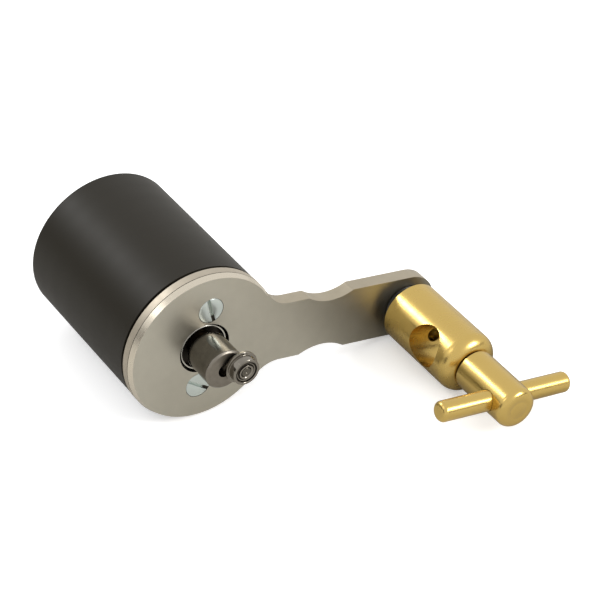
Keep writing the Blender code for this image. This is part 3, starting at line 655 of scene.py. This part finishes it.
def slotted(name, head_r, shank_r, length):
    """A countersunk screw with a straight slot along x, its head flush with z = 0."""
    cone = (head_r - shank_r) / 1.1
    profile = [(0, 0), (head_r, 0), (head_r, -0.22), (shank_r, -0.22 - cone), (shank_r, 0.3 - length),
               (shank_r - 0.3, -length), (0, -length)]
    screw = lathe(name, soften(profile, 0.08), 96)
    cut_slot(screw, bpy.context.scene.machine_sizes.slot / MM, 2 * head_r + 2, 0.8, 0.0)
    break_edges(screw, 0.05, lambda p: abs(p.z) < 0.03 and reach(p) < head_r - 0.12)
    return screw


def twin(obj, name):
    """A second piece with a mesh of its own."""
    other = obj.copy()
    other.data = obj.data.copy()
    other.name = name
    bpy.context.scene.collection.objects.link(other)
    return other


def socket_head(target, across, depth, top):
    """Sink a hexagon socket into a face at a height."""
    deselect()
    bpy.ops.mesh.primitive_cylinder_add(vertices=6, radius=across * MM, depth=(depth + 1) * MM)
    cutter = bpy.context.object
    cutter.location = (0, 0, (top + 0.5 - depth / 2) * MM)
    bpy.context.view_layer.update()
    cut(target, cutter)


class ROTARY_OT_slotted_screws(bpy.types.Operator):
    """Turn the two slotted screws that hold the motor, and the two that hold the cap"""
    bl_idname = "rotary.slotted_screws"
    bl_label = "Slotted screws"

    def execute(self, context):
        first = slotted("motor_screw_upper_fine", HEAD_R, 1.25, 6.5)
        second = twin(first, "motor_screw_lower_fine")
        settle(first, UPPER, "frame", look("zinc_upper"), ["motor_screw_upper"])
        settle(second, LOWER, "frame", look("zinc_lower"), ["motor_screw_lower"])
        rear, front = ends("cap_screw_upper")
        first = slotted("cap_screw_upper_fine", CAP_HEAD_R, 1.0, front - rear)
        second = twin(first, "cap_screw_lower_fine")
        for screw, side in ((first, 1), (second, -1)):
            at = Matrix.Translation((0, side * CAP_SCREW_Y * MM, rear * MM))
            flip = Matrix.Rotation(math.pi, 4, "X") @ Matrix.Rotation(math.radians(35 * side), 4, "Z")
            node = screw.name.replace("_fine", "")
            settle(screw, MACHINE @ at @ flip, "frame", look("zinc"), [node])
        return {"FINISHED"}


class ROTARY_OT_sleeve(bpy.types.Operator):
    """Turn the black motor sleeve and its rear cap"""
    bl_idname = "rotary.sleeve"
    bl_label = "Sleeve and cap"

    def execute(self, context):
        rear, front = ends("motor_sleeve")
        radius = outer_r("motor_sleeve", MOTOR_AT)
        cap_rear, cap_front = ends("rear_cap")
        cap_r = outer_r("rear_cap", MOTOR_AT)
        step = cap_front + 0.3
        lip, ledge = radius - LIP_WIDE, front - LIP_DEEP
        seat_r = cap_r + 0.08
        profile = [(SLEEVE_BORE_R, front), (lip, front), (lip, ledge), (radius, ledge),
                   (radius, rear), (seat_r, rear), (seat_r, step), (SLEEVE_BORE_R, step)]
        sleeve = lathe("motor_sleeve_fine", soften(profile, 0.12, True))
        settle(sleeve, MACHINE, "frame", look("satin_black"), ["motor_sleeve"])
        profile = [(3.12, cap_front), (cap_r, cap_front), (cap_r, cap_rear), (9.0, cap_rear),
                   (8.8, cap_rear + 0.12), (6.2, cap_rear + 0.12), (6.0, cap_rear), (3.12, cap_rear)]
        cap = lathe("rear_cap_fine", soften(profile, 0.2, True))
        for side in (1, -1):
            at = (0, side * CAP_SCREW_Y)
            countersink(cap, CAP_HEAD_R, 1.2, at, cap_rear, back=True, depth=cap_front - cap_rear)
        break_edges(cap, 0.05, lambda p: (abs(p.z - cap_rear) < 0.01 and abs(p.x) < CAP_HEAD_R + 0.3
                                          and abs(p.y) > CAP_SCREW_Y - 2.5))
        settle(cap, MACHINE, "frame", look("cap_black"), ["rear_cap"])
        return {"FINISHED"}


class ROTARY_OT_motor(bpy.types.Operator):
    """Turn the motor can with its front boss, and the motor shaft"""
    bl_idname = "rotary.motor"
    bl_label = "Motor can and shaft"

    def execute(self, context):
        rear, boss_front = ends("motor_can")
        radius = outer_r("motor_can", MOTOR_AT)
        front = PLATE_BACK - 0.3
        recess = boss_front - 1.5
        profile = [(BUSH_HOLE_R, recess), (BOSS_R, recess), (BOSS_R, boss_front),
                   (BOSS_ROOT_R, boss_front), (BOSS_ROOT_R, front), (radius, front), (radius, rear),
                   (radius - 1, rear), (radius - 1, front - 1), (BUSH_HOLE_R, front - 1)]
        can = lathe("motor_can_fine", soften(profile, 0.3, True))
        for side in (1, -1):
            drill(can, 1.4, front - 2, front + 1, at=(0, side * SCREW_Y))
        settle(can, MACHINE, "frame", look("nickel"), ["motor_can"])
        can.data.materials.append(look("painted_shade_steel"))
        back = MACHINE.inverted()
        # The recess inside the front boss is painted near-black: painted shade.
        for polygon in can.data.polygons:
            middle = back @ polygon.center / MM
            polygon.material_index = int(reach(middle) < BOSS_R + 0.05 and middle.z > recess - 0.1)
        rear, front = ends("motor_shaft")
        profile = [(0, front), (1.5, front), (1.5, rear), (0, rear)]
        shaft = lathe("motor_shaft_fine", soften(profile, 0.2), 72)
        settle(shaft, MACHINE, "rotor", look("bright_steel"), ["motor_shaft"])
        return {"FINISHED"}


class ROTARY_OT_cam(bpy.types.Operator):
    """Turn the eccentric hub, its set screw and the drive pin"""
    bl_idname = "rotary.cam"
    bl_label = "Eccentric"

    def execute(self, context):
        rear, front = ends("cam_hub")
        radius = outer_r("cam_hub", MOTOR_AT)
        profile = [(0, front), (radius - 0.38, front), (radius, front - 0.38), (radius, rear + 0.2),
                   (radius - 0.2, rear), (0, rear)]
        hub = lathe("cam_hub_fine", soften(profile, 0.1), 160)
        drill(hub, 1.53, rear - 1, front + 1)
        drill(hub, 0.98, 2.9, front + 1, at=(2.8, 0.7), steps=64)
        drill(hub, 1.28, 0.5, radius + 1, along="X", height=GRUB_Z, turn=GRUB_TURN, steps=64)
        break_edges(hub, 0.09, lambda p: reach(p) > radius - 0.25 and abs(p.z - GRUB_Z) < 1.5)
        settle(hub, MACHINE, "rotor", look("burnished_steel"), ["cam_hub"])
        hub.data.materials.append(look("faced_steel"))
        for polygon in hub.data.polygons:
            polygon.material_index = int(polygon.normal.y < -0.5)
        tip, head = 1.75, radius - 0.35
        profile = [(0, head), (1.2, head), (1.2, tip + 0.4), (0.8, tip), (0, tip)]
        screw = lathe("cam_set_screw_fine", soften(profile, 0.12), 72)
        socket_head(screw, 0.7, 1.1, head)
        settle(screw, GRUB, "rotor", look("burnished_steel"), ["cam_set_screw"])
        rear, front = ends("drive_pin")
        race_rear = ends("bearing_outer_ring")[0]
        profile = [(0, front - 0.35), (0.3, front - 0.05), (0.45, front), (0.95, front),
                   (0.95, race_rear - 0.08), (1.4, race_rear - 0.08), (1.4, 7.75), (0.95, 7.75),
                   (0.95, rear), (0, rear)]
        pin = lathe("drive_pin_fine", soften(profile, 0.08), 72)
        settle(pin, PIN, "rotor", look("pin_steel"), ["drive_pin"])
        return {"FINISHED"}


class ROTARY_OT_bearing(bpy.types.Operator):
    """Turn the flanged ball bearing's rings and shields"""
    bl_idname = "rotary.bearing"
    bl_label = "Bearing"

    def execute(self, context):
        rear, front = ends("bearing_outer_ring")
        steel = look("bearing_steel")
        step = rear + 0.6
        groove = (rear + front) / 2
        profile = [(RACE_R, front), (OUTER_RING_R, front), (OUTER_RING_R, step), (FLANGE_R, step),
                   (FLANGE_R, rear), (RACE_R, rear), (RACE_R, groove - 0.22), (2.34, groove),
                   (RACE_R, groove + 0.22)]
        outer = lathe("bearing_outer_ring_fine", soften(profile, 0.12, True), 160)
        settle(outer, PIN, "bearing", steel, ["bearing_outer_ring"])
        profile = [(RING_BORE_R, front - 0.22), (1.2, front), (INNER_RING_R, front),
                   (INNER_RING_R, groove + 0.22), (1.42, groove), (INNER_RING_R, groove - 0.22),
                   (INNER_RING_R, rear), (RING_BORE_R, rear)]
        inner = lathe("bearing_inner_ring_fine", soften(profile, 0.05, True), 120)
        settle(inner, PIN, "rotor", steel, ["bearing_inner_ring"])
        for node in ("shield_front", "shield_rear"):
            low, high = ends(node)
            dish = 0.05 if node == "shield_front" else 0.0
            profile = [(1.58, high), (1.78, high - dish), (1.94, high), (2.2, high), (2.2, low),
                       (1.94, low), (1.58, low)]
            shield = lathe(node + "_fine", soften(profile, 0.04, True), 120)
            settle(shield, PIN, "bearing", look("shield_painted_shade"), [node])
            shield.data.materials.append(steel)
            # The shields are painted near-black as shade, all but a bright steel ring between 1.8 and 1.93
            # mm.
            for polygon in shield.data.polygons:
                middle = PIN.inverted() @ polygon.center / MM
                polygon.material_index = int(1.8 < reach(middle) < 1.93)
        return {"FINISHED"}


class ROTARY_OT_post(bpy.types.Operator):
    """Turn the clamp post with its crossing bores, its spacer and its fixing screw"""
    bl_idname = "rotary.clamp_post"
    bl_label = "Clamp post"

    def execute(self, context):
        rear, front = ends("clamp_post")
        radius = outer_r("clamp_post", POST_AT)
        brow = 2.9
        profile = [(CLAMP_THREAD_R, front - 0.15), (3.25, front)]
        profile += arc(brow, 90, 0, 24, (radius - brow, front - brow))
        profile += [(radius, rear + 0.2), (radius - 0.2, rear), (POST_HOLE_R, rear), (POST_HOLE_R, 8.6),
                    (POST_TAP_R, 9.1), (POST_TAP_R, STEM_BORE_Z), (CLAMP_THREAD_R, STEM_BORE_Z)]
        post = lathe("clamp_post_fine", profile)
        drill(post, STEM_BORE_R, -9, 9, along="X", height=STEM_BORE_Z, steps=128)
        rim = radius - 0.02
        break_edges(post, 0.16, lambda p: reach(p) > rim and abs(p.z - STEM_BORE_Z) < 4.3, 3)
        settle(post, POST, "post", look("post_brass"), ["clamp_post"])
        rear, front = ends("post_spacer")
        neck = outer_r("post_spacer", POST_AT)
        profile = [(POST_HOLE_R, front), (neck, front), (neck, rear), (POST_HOLE_R, rear)]
        spacer = lathe("post_spacer_fine", soften(profile, 0.15, True), 128)
        settle(spacer, SCREW, "post", look("black_plastic"), ["post_spacer"])
        rear, front = ends("post_fixing_screw")
        length = front - rear
        cone = (FIXING_HEAD_R - FIXING_R) / 1.1
        profile = [(0, 0), (FIXING_HEAD_R, 0), (FIXING_HEAD_R, -0.25), (FIXING_R, -0.25 - cone),
                   (FIXING_R, 0.4 - length), (FIXING_R - 0.4, -length), (0, -length)]
        screw = lathe("post_fixing_screw_fine", soften(profile, 0.1), 96)
        socket_head(screw, 1.45, 1.3, 0)
        at = SCREW @ Matrix.Translation((0, 0, rear * MM)) @ Matrix.Rotation(math.pi, 4, "X")
        settle(screw, at, "frame", look("zinc"), ["post_fixing_screw"])
        return {"FINISHED"}


class ROTARY_OT_thumb_screw(bpy.types.Operator):
    """Turn the clamp screw, its tee bar and its loose pad"""
    bl_idname = "rotary.thumb_screw"
    bl_label = "Thumb screw"

    def execute(self, context):
        sizes = context.scene.machine_sizes
        tip, front = ends("clamp_screw")
        radius = outer_r("clamp_screw", POST_AT)
        head_rear = 23.45
        brow = 1.5
        mark = 1.9
        profile = [(0, front), (mark - 0.1, front), (mark, front - 0.03), (mark + 0.1, front)]
        profile += arc(brow, 90, 0, 16, (radius - brow, front - brow))
        profile += [(radius, head_rear + 0.25), (radius - 0.25, head_rear), (2.6, head_rear)]
        pitch = sizes.pitch / MM
        deep = sizes.thread_depth / MM
        crest = 2.95
        height = head_rear - 0.25
        while height - pitch > tip + 0.4:
            profile += [(crest - deep, height), (crest, height - 0.42 * pitch),
                        (crest, height - 0.58 * pitch)]
            height -= pitch
        profile += [(crest - deep, height), (crest - deep, tip + 0.1), (crest - deep - 0.1, tip), (0.9, tip),
                    (0.9, 20.3), (0, 20.4)]
        screw = lathe("clamp_screw_fine", profile, 160)
        drill(screw, TEE_R + 0.05, -6, 6, along="X", height=TEE_Z, steps=96)
        break_edges(screw, 0.1, lambda p: reach(p) > radius - 0.02 and abs(p.z - TEE_Z) < 2.2)
        settle(screw, SCREW, "thumb_screw", look("screw_brass"), ["clamp_screw"])
        profile = [(0, TEE_HALF), (1.5, TEE_HALF), (TEE_R, TEE_HALF - 0.55), (TEE_R, 0.55 - TEE_HALF),
                   (1.5, -TEE_HALF), (0, -TEE_HALF)]
        bar = lathe("tee_bar_fine", soften(profile, 0.4, steps=6), 96)
        settle(bar, TEE, "thumb_screw", look("bar_brass"), ["tee_bar"])
        low, high = ends("clamp_pad")
        profile = [(0, high), (0.8, high), (0.8, 18.4), (2.3, 18.4), (2.3, low), (0, low)]
        pad = lathe("clamp_pad_fine", soften(profile, 0.15), 96)
        settle(pad, SCREW, "pad", look("screw_brass"), ["clamp_pad"])
        return {"FINISHED"}


class ROTARY_OT_power_socket(bpy.types.Operator):
    """Turn the power socket's shell, lining and contact"""
    bl_idname = "rotary.power_socket"
    bl_label = "Power socket"

    def execute(self, context):
        rear, front = ends("socket_shell")
        flange_front, flange_rear = -39.63, -40.6
        profile = [(2.1, front), (3.05, front), (3.05, flange_front), (5.2, flange_front),
                   (5.2, flange_rear), (4.15, flange_rear), (4.15, rear), (3.3, rear), (3.3, -41.0),
                   (2.1, -41.0)]
        shell = lathe("socket_shell_fine", soften(profile, 0.16, True), 128)
        settle(shell, MACHINE, "frame", look("nickel"), ["socket_shell"])
        profile = [(1.0, -34.0), (2.0, -34.0), (2.0, -41.3), (3.1, -41.3), (3.1, -47.3), (1.85, -47.3),
                   (1.85, -40.2), (1.0, -40.2)]
        lining = lathe("socket_insulator_fine", soften(profile, 0.12, True), 96)
        settle(lining, MACHINE, "frame", look("white_plastic"), ["socket_insulator"])
        profile = [(0, -33.2), (0.8, -33.2), (0.8, -40.5), (1.7, -40.5), (1.7, -47.0), (1.45, -47.0),
                   (1.45, -41.0), (0, -41.0)]
        contact = lathe("socket_contact_fine", soften(profile, 0.1), 96)
        settle(contact, MACHINE, "frame", look("brass"), ["socket_contact"])
        return {"FINISHED"}


CARRIED = {
    "magnet_left": "ferrite", "magnet_right": "ferrite", "front_bush": "bronze", "rear_bush": "bronze",
    "end_bell": "black_plastic", "brush_left": "carbon", "brush_right": "carbon",
    "terminal_left": "brass", "terminal_right": "brass", "armature_core": "lamination_steel",
    "coil_1": "copper", "coil_2": "copper", "coil_3": "copper", "commutator": "copper",
    "bearing_balls": "bearing_steel", "socket_nut": "nickel", "lead_positive": "red_plastic",
    "lead_negative": "black_plastic",
}


class ROTARY_OT_carried_parts(bpy.types.Operator):
    """Finish the enclosed parts whose shape stays as it is"""
    bl_idname = "rotary.carried_parts"
    bl_label = "Enclosed parts"

    def execute(self, context):
        for node, name in CARRIED.items():
            obj = frame["nodes"][node]
            obj.data.materials.clear()
            obj.data.materials.append(look(name))
        return {"FINISHED"}


class ROTARY_OT_stage(bpy.types.Operator):
    """Lay the pale floor, and set the lights and the camera"""
    bl_idname = "rotary.stage"
    bl_label = "Stage"

    def execute(self, context):
        scene = context.scene
        deselect()
        bpy.ops.mesh.primitive_grid_add(x_subdivisions=8, y_subdivisions=8, size=8.0)
        floor = context.object
        floor.name = "floor"
        floor.location = (0, 0, -0.00002)
        paper = bpy.data.materials.new("paper")
        paper.use_nodes = True
        tree = paper.node_tree
        shader = tree.nodes["Principled BSDF"]
        shader.inputs["Roughness"].default_value = 0.9
        shader.inputs["Specular IOR Level"].default_value = 0.1
        where = tree.nodes.new("ShaderNodeTexCoord")
        cloudy = noise(tree, where.outputs["Object"], 3.0)
        seen = blend_colour(tree, cloudy, (0.97, 0.97, 0.97, 1), (0.95, 0.95, 0.95, 1))
        # Camera rays see the near-white floor with an even 0.35 glow. Reflections see a grey floor with a
        # painted shadow, darkest within 8 mm of the point (34, -18) mm under the clamp post and thumb screw,
        # and fading out by about 31 mm.
        rays = tree.nodes.new("ShaderNodeLightPath")
        shift = tree.nodes.new("ShaderNodeMapping")
        shift.inputs["Location"].default_value = (-0.034, 0.018, 0)
        tree.links.new(where.outputs["Object"], shift.inputs["Vector"])
        away = tree.nodes.new("ShaderNodeVectorMath")
        away.operation = "LENGTH"
        tree.links.new(shift.outputs["Vector"], away.inputs[0])
        past = math_node(tree, "SUBTRACT", away.outputs["Value"], 0.008)
        lit = math_node(tree, "MULTIPLY", past, 43.0, clamp=True)
        reflected_floor_painted_shadow = blend_colour(tree, lit, (0.2, 0.19, 0.17, 1), (0.6, 0.59, 0.565, 1))
        tone = blend_colour(tree, rays.outputs["Is Camera Ray"], reflected_floor_painted_shadow, seen)
        tree.links.new(tone, shader.inputs["Base Color"])
        glow = blend_colour(tree, rays.outputs["Is Camera Ray"], (0, 0, 0, 1), (0.35, 0.35, 0.35, 1))
        tree.links.new(glow, shader.inputs["Emission Color"])
        shader.inputs["Emission Strength"].default_value = 1.0
        floor.data.materials.append(paper)
        self.light("key", (-0.38, 0.665, 0.64), 0.9, (0.2, 0.24), 1.7)
        self.light("left", (-0.65, 0.02, 0.76), 0.9, (0.24, 0.26), 0.36)
        self.light("front", (0.52, -0.665, 0.48), 1.0, (0.42, 0.26), 5.0)
        self.surroundings(scene)
        self.flag("flag_behind", (-0.72, 0.665, 0.16), (0.7, 0.26))
        self.flag("flag_left", (-0.95, -0.09, 0.24), (0.3, 0.26))
        self.flag("flag_before", (0.7, -0.665, 0.16), (0.6, 0.1))
        lens = bpy.data.cameras.new("camera")
        lens.lens = 143.07
        lens.sensor_width = 36.0
        lens.shift_x = -0.00573
        lens.shift_y = -0.0256
        lens.clip_start = 0.01
        camera = bpy.data.objects.new("camera", lens)
        scene.collection.objects.link(camera)
        sight = Vector((0.423811, 0.665167, -0.614766)).normalized()
        up = Vector((0.332209, 0.517279, 0.788708))
        right = sight.cross(up).normalized()
        turn = Matrix((right, right.cross(sight), -sight)).transposed().to_4x4()
        camera.matrix_world = Matrix.Translation((-0.193315, -0.307333, 0.301436)) @ turn
        scene.camera = camera
        scene.view_settings.view_transform = "Standard"
        return {"FINISHED"}

    def light(self, name, toward, distance, spread, power):
        lamp = bpy.data.lights.new(name, "AREA")
        lamp.shape = "RECTANGLE"
        lamp.size, lamp.size_y = spread
        lamp.energy = power
        obj = bpy.data.objects.new(name, lamp)
        obj.location = Vector(toward).normalized() * distance
        obj.rotation_euler = Vector(toward).to_track_quat("Z", "Y").to_euler()
        obj.visible_camera = False
        bpy.context.scene.collection.objects.link(obj)

    def surroundings(self, scene):
        world = bpy.data.worlds.new("studio")
        world.use_nodes = True
        background = world.node_tree.nodes["Background"]
        background.inputs["Color"].default_value = (1, 1, 1, 1)
        background.inputs["Strength"].default_value = 0.92
        scene.world = world

    def flag(self, name, toward, spread):
        """A dark card, seen only in reflections, that gives the polished metal a dark band."""
        deselect()
        bpy.ops.mesh.primitive_grid_add(x_subdivisions=2, y_subdivisions=2, size=1.0)
        card = bpy.context.object
        card.name = name
        card.scale = (*spread, 1)
        toward = Vector(toward).normalized()
        card.location = toward * 0.7
        card.rotation_euler = toward.to_track_quat("Z", "Y").to_euler()
        dark = bpy.data.materials.new(name)
        dark.use_nodes = True
        shader = dark.node_tree.nodes["Principled BSDF"]
        shader.inputs["Base Color"].default_value = (0.05, 0.045, 0.035, 1)
        shader.inputs["Roughness"].default_value = 1.0
        card.data.materials.append(dark)
        card.visible_camera = False
        card.visible_diffuse = False
        card.visible_shadow = False


OPERATORS = (
    ROTARY_OT_frame_plate, ROTARY_OT_slotted_screws, ROTARY_OT_sleeve, ROTARY_OT_motor, ROTARY_OT_cam,
    ROTARY_OT_bearing, ROTARY_OT_post, ROTARY_OT_thumb_screw, ROTARY_OT_power_socket,
    ROTARY_OT_carried_parts, ROTARY_OT_stage,
)


class ROTARY_PT_panel(bpy.types.Panel):
    """Sizes, colours and pieces of the machine"""
    bl_idname = "ROTARY_PT_panel"
    bl_label = "Rotary machine"
    bl_space_type = "VIEW_3D"
    bl_region_type = "UI"
    bl_category = "Rotary"

    def draw(self, context):
        for group in (context.scene.machine_sizes, context.scene.machine_colours):
            column = self.layout.column()
            for name in group.__annotations__:
                column.prop(group, name)
        column = self.layout.column()
        for operator in OPERATORS:
            column.operator(operator.bl_idname)


CLASSES = (MachineSizes, MachineColours, *OPERATORS, ROTARY_PT_panel)


def register():
    for cls in CLASSES:
        bpy.utils.register_class(cls)
    bpy.types.Scene.machine_sizes = PointerProperty(type=MachineSizes)
    bpy.types.Scene.machine_colours = PointerProperty(type=MachineColours)


def unregister():
    del bpy.types.Scene.machine_colours
    del bpy.types.Scene.machine_sizes
    for cls in reversed(CLASSES):
        bpy.utils.unregister_class(cls)


def main():
    register()
    for operator in OPERATORS:
        category, name = operator.bl_idname.split(".")
        getattr(getattr(bpy.ops, category), name)()


if __name__ == "__main__":
    main()
